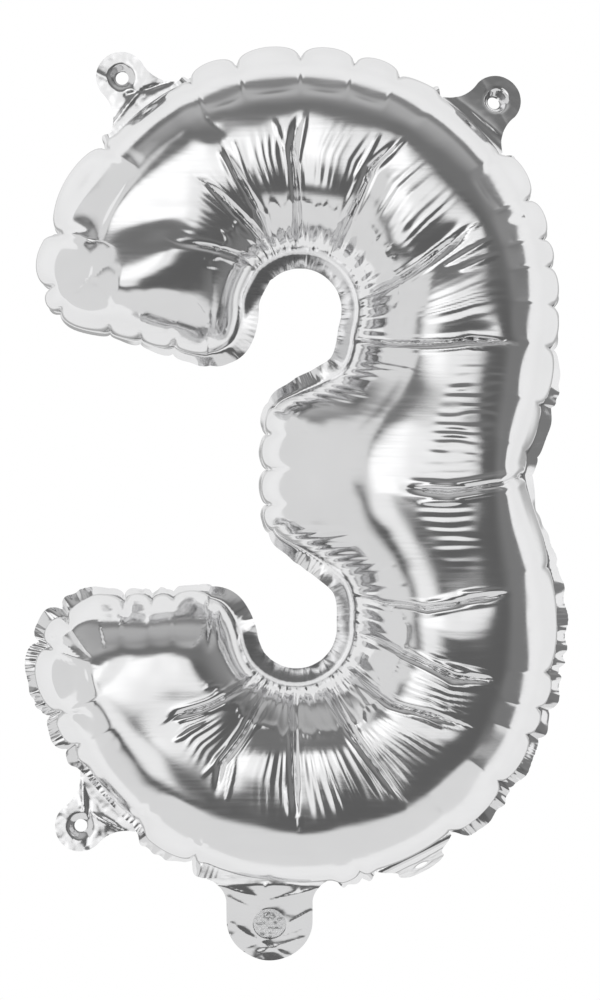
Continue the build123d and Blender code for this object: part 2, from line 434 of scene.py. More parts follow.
def leaf(start, end, half_width, tall):
    """A narrow lens-shaped roll between two plan points."""
    start, end = np.array(start, float), np.array(end, float)
    length = np.linalg.norm(end - start)
    axis = (end - start) / length
    t = ((grid - start) @ axis) / length
    d = (grid - start) @ square(axis)
    width = LEAF_WIDTH * half_width * arch(t, 0.5)
    shape = 1 - (d / np.maximum(width, 1e-6)) ** 2
    return np.where((t > 0) & (t < 1) & (np.abs(d) < width), LEAF_HEIGHT * tall * shape * arch(t, 0.4), 0)


def line_fold(points, depth, width, taper):
    """A valley along a run of plan points, fading out over the taper at each end."""
    points = np.array(points, float)
    run = running(steps(points))
    best = np.full(grid.shape[:-1], 1e9)
    along = np.zeros(grid.shape[:-1])
    for k in range(len(points) - 1):
        d, t = on_segment(grid, points[k], points[k + 1])
        nearer = d < best
        best = np.where(nearer, d, best)
        along = np.where(nearer, run[k] + t * (run[k + 1] - run[k]), along)
    return fold_profile(best, depth, width) * band(along, 0, taper[0], run[-1] - taper[1], run[-1] + 0.01)


# The edge of the film: one loop, clockwise from the top left, round the outer weld, the lower end,
# the inner weld and the upper end
loop = np.concatenate([grid[0, :-1], grid[:-1, -1], grid[-1, :0:-1], grid[:0:-1, 0]])
loop_closed = np.vstack([loop, loop[:1]])
loop_run = running(steps(loop_closed))
LOOP_LENGTH = loop_run[-1]


def on_loop(run):
    """Plan point of the edge at a running length."""
    run = np.asarray(run, float) % LOOP_LENGTH
    return np.stack([np.interp(run, loop_run, loop_closed[:, k]) for k in (0, 1)], -1)


def outward_at(run, reach=4.0):
    """Direction square to the edge, away from the film."""
    chord = on_loop(run + reach) - on_loop(run - reach)
    chord /= np.linalg.norm(chord, axis=-1, keepdims=True)
    return np.stack([-chord[..., 1], chord[..., 0]], -1)


def run_near(point):
    """Running length of the edge point nearest to a plan point."""
    return loop_run[((loop - np.asarray(point, float)) ** 2).sum(1).argmin()]


EDGE_SAMPLES = 1600
BATCH = 4000             # plan points compared with all the samples at a time


def nearest_edge(plan):
    """Distance of every plan point from the edge, and the running length of the nearest edge point."""
    sample = np.linspace(0, LOOP_LENGTH, EDGE_SAMPLES + 1)[:-1]
    places = on_loop(sample)
    square_length = (places ** 2).sum(1)
    flat = plan.reshape(-1, 2)
    batches = np.array_split(flat, math.ceil(len(flat) / BATCH))
    best = np.concatenate([(square_length - 2 * batch @ places.T).argmin(1) for batch in batches])
    gaps = np.full(len(flat), 1e9)
    runs = np.zeros(len(flat))
    for shift in (-1, 0):
        k = (best + shift) % len(sample)
        a, b = places[k], places[(k + 1) % len(sample)]
        e = b - a
        t = np.clip(((flat - a) * e).sum(1) / (e * e).sum(1), 0, 1)
        d = np.linalg.norm(flat - (a + t[:, None] * e), axis=1)
        better = d < gaps
        gaps = np.where(better, d, gaps)
        runs = np.where(better, sample[k] + t * (sample[1] - sample[0]), runs)
    return gaps.reshape(plan.shape[:-1]), runs.reshape(plan.shape[:-1]) % LOOP_LENGTH


# Notches in the edge, and how far the pillow after each one bulges, as a share of PILLOW_OUT
UPPER_NOTCHES = [
    (183, 0.9), (175.4, 1.5), (162.7, 1.5), (140.6, 0.8), (115.6, 1.0), (104.6, 1.1), (89.6, 1.0),
    (77.4, 0.9), (66.7, 0.6), (37.9, 1.1), (25.3, 0.9), (16.2, 0.7), (9.5, 0.7), (0.5, 0.7), (-9, 0.7),
    (-22, 0.3), (-33, 0.3),
]
LOWER_NOTCHES = [
    (37, 0.3), (14, 0.6), (-9.7, 0.7), (-18.4, 0.6), (-24.7, 0.7), (-37.6, 0.8), (-53.2, 0.7),
    (-76.4, 0.8), (-97, 0.8), (-115, 0.9), (-130.1, 0.8), (-152.7, 0.9), (-161, 1.2), (-176, 1.0),
    (-188, 0.9),
]
END_NOTCHES = [
    ((-73.3, -54.2), 0.8), ((-62, -52), 0.6), ((-52.9, -50.4), 0.8), ((-37.5, -55), 0.0),
    ((-10.5, -26.3), 0.7), ((-13, -16.3), 0.8), ((-13, -2.1), 0.8), ((-13, 12.5), 0.6),
    ((-10.5, 23.7), 0.0), ((-38, 46.5), 0.5), ((-52.9, 47.1), 0.6), ((-66.7, 51), 0.5),
    ((-79, 56), 0.6),
]
PILLOW_OUT = 4.2         # bulge beside the weld
PILLOW_IN = 2.0          # and the flattening of the film above it
GROOVE, GROOVE_WIDTH = 1.6, 1.3


def edge_notches():
    """Running length and share of every notch, in order."""
    listed = [(polar(UPPER, OUTER, angle), share) for angle, share in UPPER_NOTCHES]
    listed += [(polar(LOWER, OUTER, angle), share) for angle, share in LOWER_NOTCHES]
    return np.array(sorted((run_near(point), share) for point, share in listed + END_NOTCHES)).T


NOTCH_RUN, NOTCH_SHARE = edge_notches()


def between_notches(run):
    """Which pillow a running length is in: its share, how high its crown is there, the distance to
    the nearer notch and that notch's strength."""
    k = (np.searchsorted(NOTCH_RUN, run, side="right") - 1) % len(NOTCH_RUN)
    after = (k + 1) % len(NOTCH_RUN)
    span = (NOTCH_RUN[after] - NOTCH_RUN[k]) % LOOP_LENGTH
    travelled = (run - NOTCH_RUN[k]) % LOOP_LENGTH
    t = np.clip(travelled / span, 0, 1)
    share = NOTCH_SHARE[k]
    distance = np.where(t < 0.5, travelled, span - travelled)
    beside = np.where(t < 0.5, NOTCH_SHARE[k - 1], NOTCH_SHARE[after])
    return share, arch(t, 0.5), distance, np.minimum(share, 1) * 0.5 + np.minimum(beside, 1) * 0.5


def pillow_push(run, tall):
    """How far the film moves outward at a height above the weld: pillows between the notches, and a
    groove at each notch.  Both are slight beside a tab or the tail."""
    share, crown, distance, strength = between_notches(run)
    low_bulge = (0.5 + 0.5 * smooth(tall, 0, 8)) * (1 - smooth(tall, 9, 22))
    high_cut = band(tall, 17, 31, 31, 39.5)
    push = share * crown * (PILLOW_OUT * low_bulge - PILLOW_IN * high_cut)
    groove = GROOVE * strength ** 2 * np.exp(-distance / GROOVE_WIDTH) * (1 - smooth(tall, 14, 27))
    return (push - groove) * (1 - 0.75 * near_flap(run))


def seen(px, py, tall=30.0):
    """Plan point of the film that stands at a place in the picture."""
    scale = PIXEL * (1 - tall / CAMERA_WAY)
    return (px - 300) * scale, (500 - py) * scale + PHOTO_Z


# Folds that run in from the edge: points in the picture, depth and width
FOLDS = [
    ([(189, 80), (194, 96), (205, 120), (230, 140)], 0.5, 3.0),
    ([(103, 148), (110, 154), (120, 161)], 1.1, 1.0),
    ([(50, 232), (68, 235), (88, 239)], 1.2, 1.0),
    ([(212, 268), (213, 300), (211, 338)], 0.3, 2.0),
    ([(173, 350), (171, 338), (170, 326)], 1.0, 1.0),
    ([(124, 597), (124, 610), (124, 623)], 1.0, 1.1),
    ([(173, 588), (174, 596), (175, 604)], 1.0, 1.0),
    ([(212, 600), (211, 625), (208, 656)], 0.6, 1.1),
    ([(51, 639), (60, 643), (69, 649)], 1.0, 1.0),
    ([(57, 718), (72, 717), (88, 716)], 1.0, 1.0),
    ([(140, 816), (146, 806), (152, 797)], 0.8, 1.0),
    ([(197, 846), (200, 836), (203, 826)], 0.8, 1.0),
    ([(500, 152), (494, 160), (486, 170)], 0.9, 1.1),
    ([(528, 214), (520, 217), (508, 221)], 0.9, 1.1),
]
FOLD_TAPER = (0.5, 7)
# The wide slope of the upper free end, between a valley from the notch and a ridge from the corner,
# and the softer one of the lower end: picture points of both lines, and height as a share of the
# distance between them
SLOPES = [
    ((86, 240), (190, 206), (112, 306), (192, 238), 0.085),
    ((150, 655), (196, 716), (122, 612), (214, 664), 0.045),
]


def slope(plan, valley_start, valley_end, ridge_start, ridge_end, share):
    """A smooth rise from a valley to a ridge, fading out beyond both lines and at their ends."""
    a, b, c, d = (np.array(seen(*p)) for p in (valley_start, valley_end, ridge_start, ridge_end))
    middle_start, middle_end = (a + c) / 2, (b + d) / 2
    e = middle_end - middle_start
    t = ((plan - middle_start) @ e) / (e @ e)
    along = np.clip(t, -0.2, 1.3)[..., None]
    valley, ridge = a + along * (b - a), c + along * (d - c)
    across = ridge - valley
    width = np.maximum(np.linalg.norm(across, axis=-1), 6)
    s = ((plan - valley) * across).sum(-1) / width ** 2
    beyond = np.maximum(np.maximum(-s, s - 1), 0) * width
    rise = -np.cos(math.pi * np.clip(s, 0, 1)) * np.exp(-(beyond / 12) ** 2)
    return share * width * rise * smooth(t, -0.1, 0.15) * (1 - smooth(t, 0.6, 1.25))


FAN_PITCH = 4.6
UPPER_FAN = [(20.8, 47), (-9.5, 25)]
LOWER_FAN = [(-9, -29), (21.6, -56.5)]


def root_fan(stretch, seed):
    """Small rolls square to the inner weld, evenly along a stretch where the arm grows out of the stroke."""
    rng = np.random.default_rng(seed)
    inner = grid[-1]
    first, last = sorted(int(((inner - np.array(p)) ** 2).sum(1).argmin()) for p in stretch)
    run = running(steps(inner))
    out = np.zeros(height.shape)
    columns = np.interp(np.arange(run[first], run[last], FAN_PITCH), run, np.arange(len(run)))
    for column in columns.astype(int):
        foot, toward = grid[-1, column], grid[-30, column]
        axis = (toward - foot) / np.linalg.norm(toward - foot)
        axis = axis + rng.uniform(-0.15, 0.15) * square(axis)
        length = rng.uniform(15, 27)
        out += leaf(foot + 2.0 * axis, foot + length * axis, rng.uniform(1.1, 1.7), rng.uniform(0.45, 0.85))
    return out


# Large pillows whose inner part is a flat slope: plan points at both ends of the pillow, the height
# at which the slope would meet the weld, and how steep it is
FACETS = [
    ((-79, 56), polar(UPPER, OUTER, 162.7), 20, 0.62),
    (polar(UPPER, OUTER, 162.7), polar(UPPER, OUTER, 140.6), 20, 0.82),
    (polar(LOWER, OUTER, -152.7), polar(LOWER, OUTER, -161), 21, 0.9),
    (polar(LOWER, OUTER, -161), polar(LOWER, OUTER, -176), 20, 0.8),
    (polar(LOWER, OUTER, -176), (-84, -57), 20, 0.8),
]


def facet_cut():
    """How far the flat slopes of the large pillows lie under the plain film."""
    out = np.zeros(height.shape)
    for first, last, low, steepness in FACETS:
        start, span = run_near(first), (run_near(last) - run_near(first)) % LOOP_LENGTH
        if span > LOOP_LENGTH / 2:
            start, span = run_near(last), LOOP_LENGTH - span
        t = ((edge_run - start) % LOOP_LENGTH) / span
        over = height - low - steepness * edge_gap
        cut = arch(t, 0.8) * 0.5 * (over + np.sqrt(over ** 2 + 1.0)) * (1 - smooth(edge_gap, 26, 36))
        out += np.where(t < 1, cut, 0)
    return out * smooth(height, 2, 10)


def waist_ripples(seed):
    """Fine ripples across the crest above and below the waist's crease."""
    x, z = grid[..., 0], grid[..., 1]
    sides = band(z, -8, -2, 34, 44) + 0.7 * band(z, -44, -36, -20, -14)
    crest = band(x - 0.35 * np.abs(z + 11), 43, 52, 62, 71)
    patchy = 0.65 + 0.6 * value_noise(x / 9, z / 6, seed)
    wave = np.cos(2 * math.pi * (z / 3.9 + 0.25 * value_noise(x / 12, z / 5, seed + 1)))
    return 0.15 * wave * patchy * crest * sides


def turned(creases, by):
    """The same creases at other angles, for the back film."""
    turns = [by[k % len(by)] for k in range(len(creases))]
    return [([(a + turn, r) for a, r in points], depth) for turn, (points, depth) in zip(turns, creases)]


def relief(seed, by):
    """Height of creases, rolls and panels above the plain film; by turns those of the bowls."""
    out = bowl_relief(UPPER, turned(UPPER_CREASES, by), -90, seed)
    out += bowl_relief(LOWER, turned(LOWER_CREASES, by), -200, seed + 7)
    leaves = [(UPPER, *one) for one in UPPER_LEAVES] + [(LOWER, *one) for one in LOWER_LEAVES]
    for k, (centre, angle, radius, angle_end, radius_end, *size) in enumerate(leaves):
        turn = by[k % len(by)]
        out += leaf(polar(centre, radius, angle + turn), polar(centre, radius_end, angle_end + turn), *size)
    out += line_fold(WAIST_CREASE, 1.7, 1.1, (14, 1))
    for points, depth, width in FOLDS:
        out += line_fold([seen(*p) for p in points], depth, width, FOLD_TAPER)
    for one in SLOPES:
        out += slope(grid, *one)
    for start, end, half_width in WAIST_LEAVES:
        out += leaf(start, end, half_width, 1.0)
    out += waist_ripples(seed + 40)
    out += root_fan(UPPER_FAN, seed + 20) + root_fan(LOWER_FAN, seed + 21)
    out += 0.16 * (value_noise(*(grid / 23).T, seed + 30) + 0.4 * value_noise(*(grid / 9).T, seed + 31)).T
    return out * smooth(height, 2, 14)


# Fold of each tab: centre of its bowl, direction, distance from it, and tilt at rest
TABS = {
    "tab_top_left": (UPPER, 127.5, 106.5, 8),
    "tab_top_right": (UPPER, 47, 105, 30),
    "tab_bottom_left": (LOWER, -138, 107.5, 5),
    "tab_bottom_right": (LOWER, -63, 105, 68),
}
TAB_BASE, TAB_HEAD, TAB_REACH, EYELET = 17.0, 10.5, 15.5, 2.7
TAIL_FOLD, TAIL_TILT = (-12.75, -172.0), 6.0
TAIL_BASE, TAIL_HALF, TAIL_SHOULDER, TAIL_LENGTH = 26.0, 18.0, 10.0, 37.2
INLET_REACH, INLET = 20.8, 7.0
# Middle, way out and half length of each fold
FLAPS = [(polar(centre, far, angle), unit(angle), TAB_BASE) for centre, angle, far, _ in TABS.values()]
FLAPS.append((np.array(TAIL_FOLD), unit(-90), TAIL_BASE))
OWN_EDGE = -25           # edge points farther in than this aren't beside the flap


def near_flap(run):
    """1 along the fold of a tab or the tail, where the film stays behind the fold, and 0 away from it."""
    edge = on_loop(run)
    share = np.zeros(edge.shape[:-1])
    for middle, out, half in FLAPS:
        along = np.abs((edge - middle) @ square(out))
        beside = 1 - smooth(along, half - 1, half + 5)
        share = np.maximum(share, beside * ((edge - middle) @ out > OWN_EDGE))
    return share


edge_gap, edge_run = nearest_edge(grid)
edge_outward = outward_at(edge_run)


def film_points(seed, by):
    """The inflated part of one film, as a grid of points that face the front."""
    points = base + normal * relief(seed, by)[..., None]
    points[..., 1] += facet_cut()
    push = pillow_push(edge_run, height) * (1 - smooth(edge_gap, 15, 21))
    points[..., [0, 2]] += push[..., None] * edge_outward
    return points


# The flat welded margin outside the weld: how far it folds back in degrees, the size of its waves and
# of its crinkle, and the plan places where they are so
FLANGE = 7.0
FLANGE_KEYS = {
    (80, 0.2, 0.03): [(-100, 58), (-107, 70), (-60, 152), (0, 170), (60, 150),
        (100, 96), (105, 55), (96, -20), (0, -173), (-40, -166), (-12, -22), (-13, 15), (-75, 54)],
    (38, 0.5, 0.05): [(102, 30)], (36, 0.3, 0.04): [(96, 8)], (44, 0.3, 0.05): [(93, -4)],
    (48, 0.5, 0.1): [(102, -44)], (38, 1.1, 0.16): [(105, -60), (102, -92)], (28, 1.1, 0.16): [(85, -130)],
    (20, 1.0, 0.16): [(62, -153)], (45, 0.5, 0.1): [(35, -168)], (40, 0.5, 0.1): [(-52, -158)],
    (22, 1.0, 0.16): [(-80, -136)], (14, 1.2, 0.22): [(-96, -112)], (12, 1.2, 0.22): [(-106, -72)],
    (22, 1.0, 0.22): [(-95, -58)], (66, 0.5, 0.12): [(-80, -55.5)], (70, 0.5, 0.12): [(-60, -52)],
    (60, 0.4, 0.08): [(-42, -53)], (-16, 0.1, 0.03): [(-26, -72)], (-13, 0.1, 0.03): [(-2, -92), (0, 88)],
    (-18, 0.1, 0.03): [(21, -68), (24, 64)], (-24, 0.1, 0.03): [(20, -50), (20, 46)],
    (30, 0.3, 0.05): [(0, -35), (0, 30)], (-14, 0.1, 0.03): [(-23, 66)], (10, 0.2, 0.05): [(-30, 50)],
    (50, 0.3, 0.05): [(-40, 47)],
}
FLANGE_ROWS = np.array([-0.25, 0.1, 0.6, 1.2, 2.0, 3.0, 4.0, 5.0, 6.0, 7.0]) / FLANGE
PLY = 0.05               # each film's distance from the middle of the weld


def flange_points(seed):
    """The welded margin as rows that follow the edge: plan position and depth."""
    run = np.arange(0, LOOP_LENGTH, 0.5)
    edge, outward = on_loop(run), outward_at(run, 3.0)
    keys = sorted((run_near(point), *kind) for kind, points in FLANGE_KEYS.items() for point in points)
    keys = np.array([keys[-1], *keys, keys[0]])
    keys[0, 0] -= LOOP_LENGTH
    keys[-1, 0] += LOOP_LENGTH
    tilt, wave, crinkle = (np.interp(run, keys[:, 0], column) for column in keys[:, 1:].T)
    width = np.full(len(run), FLANGE)
    for middle, out, half in FLAPS:
        beyond = (edge - middle) @ out
        along = np.abs((edge - middle) @ square(out))
        beside = np.minimum(smooth(along, half + 0.8, half + 6) + (beyond < OWN_EDGE), 1)
        limit = np.clip(-beyond / np.maximum(outward @ out, 0.5) - 0.2, 0.5, FLANGE)
        width = np.where(beside < 1, limit + (width - limit) * beside, width)
        flat_tilt = -8 if middle[1] < 0 else 0
        tilt = np.where(beside < 1, flat_tilt + (tilt - flat_tilt) * beside, tilt)
    _, _, distance, strength = between_notches(run)
    width = width * (1 - 0.22 * np.exp(-distance / 1.6) * strength)
    large = wave * np.sin(2 * math.pi * (run / 11 + 0.8 * value_noise(run / 19, run * 0, seed)))
    pitch = run / 1.95 + 0.5 * value_noise(run / 4, run * 0, seed + 1)
    fine = crinkle * np.sin(2 * math.pi * pitch) * (0.6 + 0.8 * value_noise(run / 5, run * 0 + 3, seed + 2))
    rows = []
    position = edge + outward * pillow_push(run, np.zeros(len(run)))[:, None]
    depth, before = np.zeros(len(run)), 0.0
    for share_out in FLANGE_ROWS:
        w = share_out * width
        turn = np.radians(tilt) * smooth(w, 0.2, 2.2)
        position = position + outward * ((w - before) * np.cos(turn))[:, None]
        depth = depth + (w - before) * np.sin(turn)
        before = w
        ruffle = large * smooth(w, 0.5, 7) + fine * smooth(w, 0.2, 1.6)
        plan = position - outward * (ruffle * np.sin(turn))[:, None]
        rows.append(np.stack([plan[:, 0], depth + ruffle * np.cos(turn), plan[:, 1]], -1))
    return np.array(rows)


def put_in_scene(name, data):
    piece = bpy.data.objects.new(name, data)
    bpy.context.scene.collection.objects.link(piece)
    return piece


def make(name, points, faces, flip=False):
    """A smooth-shaded mesh from points in the digit's frame."""
    co = np.asarray(points, float).reshape(-1, 3).copy()
    co[:, 2] += LIFT
    mesh = bpy.data.meshes.new(name)
    mesh.from_pydata((co * MM).tolist(), [], np.asarray(faces)[:, ::-1 if flip else 1].tolist())
    mesh.polygons.foreach_set("use_smooth", [True] * len(mesh.polygons))
    mesh.update()
    return put_in_scene(name, mesh)


def make_film(name, seed, by, side):
    """One foil film: its inflated part and its half of the welded margin.  side is 1 for the front."""
    body, margin = film_points(seed, by), margin_rows.copy()
    body[..., 1] = side * (body[..., 1] - PLY)
    margin[..., 1] -= side * PLY
    margin_faces = quads(*margin.shape[:2], ROWS * COLUMNS, closed=True)[:, ::-1]
    points = np.concatenate([body.reshape(-1, 3), margin.reshape(-1, 3)])
    return make(name, points, np.concatenate([quads(ROWS, COLUMNS), margin_faces]), flip=side > 0)


margin_rows = flange_points(5)
front = make_film("front_foil", 1, (0,), 1)
back = make_film("back_foil", 50, (5, -4, 7, -6, 3), -1)

FLAP_START = 0.5         # where a flap's shoulders begin beyond its fold
SHOULDER_DIP = 0.15      # how far the shoulders bow in, as a share of their chord
FLAP_ROOT = -1.0         # the mesh goes on for this far behind the fold
FLAP_PITCH = 0.75
BEND = 4.0               # a flap takes up its tilt over these first millimetres


def arc_through(a, b, c, count):
    """Points of the arc from a through b to c, with c left out."""
    a, b, c = (np.array(p, float) for p in (a, b, c))
    d = 2 * (a[0] * (b[1] - c[1]) + b[0] * (c[1] - a[1]) + c[0] * (a[1] - b[1]))
    ux = ((a @ a) * (b[1] - c[1]) + (b @ b) * (c[1] - a[1]) + (c @ c) * (a[1] - b[1])) / d
    uz = ((a @ a) * (c[0] - b[0]) + (b @ b) * (a[0] - c[0]) + (c @ c) * (b[0] - a[0])) / d
    centre = np.array([ux, uz])
    angles = [math.atan2(*(p - centre)[::-1]) for p in (a, b, c)]
    turn = lambda x, sign: (sign * x) % (2 * math.pi)
    sign = 1 if turn(angles[1] - angles[0], 1) < turn(angles[2] - angles[0], 1) else -1
    sweep = sign * turn(angles[2] - angles[0], sign)
    radius = np.linalg.norm(a - centre)
    t = angles[0] + sweep * np.arange(count) / count
    return centre + radius * np.stack([np.cos(t), np.sin(t)], -1)


def flap_outline(base_half, top_half, shoulder_at, length):
    """Outline of a flap: x along its fold and z away from the film, as it is cut in part.py."""
    side = length - top_half
    chord = np.array([top_half - base_half, shoulder_at - FLAP_START])
    middle = np.array([base_half + top_half, FLAP_START + shoulder_at]) / 2 + SHOULDER_DIP * square(chord)
    upright = lambda x, heights: np.stack([np.full(len(heights), x), heights], -1)
    return np.concatenate([
        [[x, FLAP_ROOT] for x in np.arange(-base_half, base_half, 1.0)],
        upright(base_half, np.arange(FLAP_ROOT, FLAP_START, 0.5)),
        arc_through((base_half, FLAP_START), middle, (top_half, shoulder_at), 16),
        upright(top_half, np.arange(shoulder_at, side, 1.0)),
        arc_through((top_half, side), (0, length), (-top_half, side), 36),
        upright(-top_half, np.arange(side, shoulder_at, -1.0)),
        arc_through((-top_half, shoulder_at), (-middle[0], middle[1]), (-base_half, FLAP_START), 16),
        upright(-base_half, np.arange(FLAP_START, FLAP_ROOT, -0.5)),
    ])


def inside(outline, points):
    """Whether points lie inside a closed outline."""
    x, z = points[:, 0, None], points[:, 1, None]
    a, b = outline, np.roll(outline, -1, axis=0)
    meets = (b[:, 0] - a[:, 0]) * (z - a[:, 1]) / (b[:, 1] - a[:, 1] + 1e-12) + a[:, 0]
    return (((a[:, 1] > z) != (b[:, 1] > z)) & (x < meets)).sum(1) % 2 == 1


def flap_mesh(outline, hole):
    """Triangles that fill an outline, with a round hole (reach and radius) left open."""
    low, high = outline.min(0), outline.max(0)
    xs, zs = np.arange(low[0], high[0], FLAP_PITCH), np.arange(low[1], high[1], FLAP_PITCH * 0.87)
    field = np.stack(np.meshgrid(xs, zs, indexing="ij"), -1)
    field[:, ::2, 0] += FLAP_PITCH / 2
    field = field.reshape(-1, 2)
    clear = np.sqrt(((field[:, None] - outline[None]) ** 2).sum(-1)).min(1) > 0.45 * FLAP_PITCH
    field = field[clear & inside(outline, field)]
    rings = []
    if hole:
        reach, radius = hole
        t = np.linspace(0, 2 * math.pi, 37)[:-1]
        for extra in (0, 0.35, 0.8):
            rings.append(np.stack([(radius + extra) * np.cos(t), reach + (radius + extra) * np.sin(t)], -1))
        field = field[np.hypot(field[:, 0], field[:, 1] - reach) > radius + 1.3]
    points = np.concatenate([outline, *rings, field])
    edges = [(k, (k + 1) % len(outline)) for k in range(len(outline))]
    verts, _, faces, *_ = delaunay_2d_cdt([Vector(p) for p in points], edges, [], 1, 1e-6)
    verts = np.array([list(v) for v in verts])
    faces = np.array([f for f in faces if len(f) == 3])
    if hole:
        middle = verts[faces].mean(1)
        faces = faces[np.hypot(middle[:, 0], middle[:, 1] - hole[0]) > hole[1] * 0.995]
    return verts, faces


def bent(flat, lift, fold, angle, tilt):
    """A flat flap in its place: bent back by the tilt over its first millimetres, and crumpled by lift."""
    reach = np.maximum(flat[:, 1], 0)
    table = np.linspace(0, 60, 601)
    turn = np.radians(tilt) * smooth(table, 0, BEND)
    here = np.interp(reach, table, turn)
    out = np.interp(reach, table, running(np.cos(turn[1:]) * 0.1)) + lift * np.sin(here)
    out += np.minimum(flat[:, 1], 0)
    behind = np.interp(reach, table, running(np.sin(turn[1:]) * 0.1)) - lift * np.cos(here)
    outward = unit(angle)
    plan = fold - flat[:, :1] * square(outward) + out[:, None] * outward
    return np.stack([plan[:, 0], behind, plan[:, 1]], -1)


def crumple(flat, seed, size):
    """Light dents in a flap, fading towards its fold."""
    x, z = flat[:, 0], flat[:, 1]
    bumps = value_noise(x / 7 + 5, z / 7 + 9, seed) + 0.5 * np.abs(value_noise(x / 3.4, z / 3.4, seed + 1))
    bumps += 0.18 * value_noise(x / 1.6, z / 1.6, seed + 2)
    return size * bumps * (0.25 + 0.75 * smooth(z, 0, 7))


def ridges(flat, folds):
    """Straight sharp folds across a flap, each fading at its ends: start, end, width and height."""
    out = 0
    for start, end, width, tall in folds:
        e = np.subtract(end, start).astype(float)
        t = ((flat - start) @ e) / (e @ e)
        d = np.abs((flat - start) @ square(e)) / np.linalg.norm(e)
        out = out + tall * np.exp(-d / width) * arch(t, 0.5) * ((t > 0) & (t < 1))
    return out


# Of each tab: seed and size of its crumples, how far it curls, and its sharp folds
TAB_FOLDS = {
    "tab_top_left": (11, 0.16, 0.17, [
        ((-16, 2), (4, 7), 1.2, 0.7), ((-9, 26), (3, 4), 1.6, 0.5), ((17, 1), (-4, 9), 1.0, -0.6)]),
    "tab_top_right": (21, 0.14, 0.25, [((-16, 4), (16, 6), 1.3, 0.8), ((-12, 18), (14, 9), 1.5, 0.6)]),
    "tab_bottom_left": (31, 0.3, 0.14, [
        ((-15, 3), (2, 9), 1.0, 0.8), ((14, 2), (1, 12), 0.9, 0.7), ((-9, 20), (6, 5), 1.1, -0.5)]),
    "tab_bottom_right": (41, 0.15, 0.0, [((-14, 5), (14, 7), 1.2, 0.5)]),
}
TAIL_FOLDS = [
    ((-24, 3), (2, 11), 1.1, 1.1), ((25, 2), (3, 9), 1.0, 0.9), ((1, 2), (3, 13), 0.8, 1.2),
    ((-18, 14), (-7, 21), 1.0, 1.0), ((18, 8), (7, 14), 1.2, 0.9), ((-17, 26), (6, 34), 1.3, 0.9),
    ((-14, 22), (12, 32), 1.0, -0.8), ((17, 20), (2, 30), 1.1, 0.8), ((-10, 36), (14, 24), 1.0, 0.7),
]


def place_flap(name, flat, lift, faces, body, nodes):
    """A flap's mesh in its place, bent at its fold, with the parts that it stands for hidden."""
    if body == "tail":
        fold, angle, tilt = TAIL_FOLD, -90, TAIL_TILT
    else:
        centre, angle, distance, tilt = TABS[body]
        fold = polar(centre, distance, angle)
    piece = make(name, bent(flat, lift, fold, angle, tilt), faces)
    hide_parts(*nodes)
    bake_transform(piece)
    return piece


def make_tab(name):
    """A hanging tab: both foils welded flat, with its eyelet and the slight ring round it."""
    seed, size, curl, folds = TAB_FOLDS[name]
    outline = flap_outline(TAB_BASE, TAB_HEAD, TAB_REACH, TAB_REACH + TAB_HEAD)
    flat, faces = flap_mesh(outline, (TAB_REACH, EYELET))
    lift = crumple(flat, seed, size) + curl * np.maximum(flat[:, 1] - 4, 0) + ridges(flat, folds)
    ring = np.hypot(flat[:, 0], flat[:, 1] - TAB_REACH)
    lift = lift * smooth(ring, 2.5, 6) + 0.12 * bell(ring - 4.2, 0.7)
    nodes = [name + "_front", name + "_back"]
    return place_flap(name + "_foil", flat, lift, faces, name, nodes)


def tail_lift(flat):
    """Crumples that the tail's two foils and the valve films between them share."""
    x, z = flat[:, 0], flat[:, 1]
    waves = 1.1 * value_noise(x / 13 + 2, z / 10 + 4, 77) * smooth(z, 0, 8)
    folds = 0.6 * ridges(flat, TAIL_FOLDS) * smooth(z, 0, 3)
    return -0.28 * np.maximum(z - 3, 0) + waves + crumple(flat, 71, 0.17) + folds


def inlet_wrinkle(flat, seed):
    """A share of 1 inside the inlet and 0 outside, and the crinkles of a valve film that shows there."""
    x, z = flat[:, 0], flat[:, 1]
    window = 1 - smooth(np.hypot(x, z - INLET_REACH), INLET - 2.5, INLET + 0.2)
    folds = 1 - np.abs(value_noise(x / 2.6 + 3, z / 2.2 + 5, seed))
    small = 1 - np.abs(value_noise(x / 1.3, z / 1.5, seed + 1))
    return window, 1.1 * folds ** 3 + 0.5 * small ** 3


def make_tail(name, hole, apart, node):
    """One foil of the tail, some way from its middle; without a hole it is wrinkled behind the inlet."""
    flat, faces = flap_mesh(flap_outline(TAIL_BASE, TAIL_HALF, TAIL_SHOULDER, TAIL_LENGTH), hole)
    lift = tail_lift(flat) + apart
    if not hole:
        window, wrinkle = inlet_wrinkle(flat, 98)
        lift += window * (0.7 * wrinkle - 0.9)
    return place_flap(name, flat, lift, faces, "tail", [node])


def strip(half_width, low, high, columns, rows):
    """Flat points and faces of a straight strip."""
    xs, zs = np.linspace(-half_width, half_width, columns), np.linspace(low, high, rows)
    return np.stack(np.meshgrid(xs, zs, indexing="ij"), -1).reshape(-1, 2), quads(columns, rows)


def make_valve_inlet(name, apart, bulge, seed, node):
    """A clear valve film between the tail's foils, crinkled where it shows in the inlet."""
    flat, faces = strip(12, -0.9, 31, 61, 81)
    window, wrinkle = inlet_wrinkle(flat, seed)
    lift = tail_lift(flat) + apart + window * (bulge + wrinkle)
    return place_flap(name, flat, lift, faces, "tail", [node])


def make_valve_sleeve(name, side, seed, node):
    """A clear valve film above the fold: through the weld and loose inside the chamber."""
    flat, faces = strip(10, 0.2, 44, 41, 89)
    loose = smooth(flat[:, 1], 4, 30)
    depth = side * (0.06 + 0.5 * loose) + 0.7 * loose * value_noise(flat[:, 0] / 8, flat[:, 1] / 8, seed)
    piece = make(name, np.stack([TAIL_FOLD[0] + flat[:, 0], depth, TAIL_FOLD[1] + flat[:, 1]], -1), faces)
    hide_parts(node)
    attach(piece, "balloon")
    return piece


